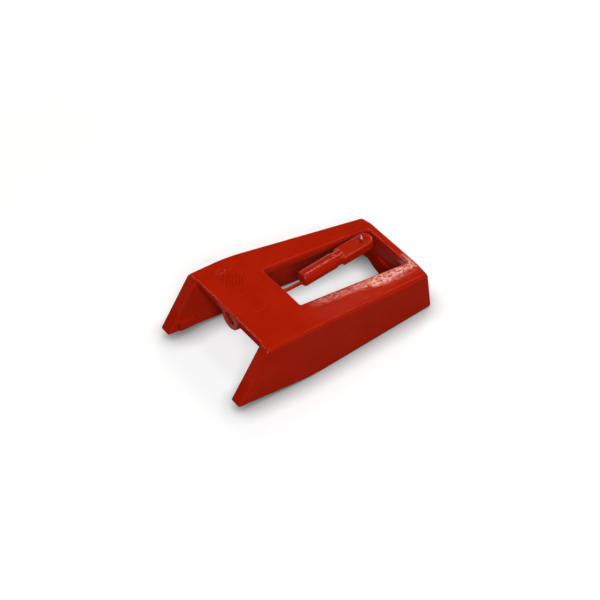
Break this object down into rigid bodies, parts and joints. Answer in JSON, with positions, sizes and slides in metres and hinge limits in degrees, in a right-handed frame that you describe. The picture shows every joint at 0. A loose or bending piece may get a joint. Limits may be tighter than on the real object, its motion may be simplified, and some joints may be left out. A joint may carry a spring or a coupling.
{
  "type": "turntable stylus",
  "caption": "Red moulded clip-on turntable stylus: a tapered carrier with a window, a sprung cantilever in a rubber bush and a jewel tip.",
  "frame": {"origin": "on the resting plane, under the middle of the part's length and width", "axes": "+X from the open tail to the nose wall, +Y across the carrier, +Z the way the tip points"},
  "size_m": [0.0198, 0.011, 0.0064],
  "materials": {
    "carrier_plastic": "fine grained red moulding",
    "bush_rubber": "soft dark red rubber",
    "cantilever_plastic": "smooth red moulding",
    "jewel": "polished synthetic jewel"
  },
  "bodies": {
    "carrier": {"carrier": "carrier_plastic"},
    "bush": {"pivot_bush": "bush_rubber"},
    "arm": {"cantilever": "cantilever_plastic", "stylus_tip": "jewel"}
  },
  "joints": [
    {"name": "side_swing", "type": "hinge", "parent": "carrier", "child": "bush", "pos_m": [-0.0061, 0, 0.00428], "axis": [0, 0, 1], "range_deg": [-3, 3], "stiffness_Nm_per_rad": 0.0002},
    {"name": "height_swing", "type": "hinge", "parent": "bush", "child": "arm", "pos_m": [-0.0061, 0, 0.00428], "axis": [0, 1, 0], "range_deg": [-0.5, 4], "stiffness_Nm_per_rad": 0.0002, "springref_deg": -0.21}
  ]
}
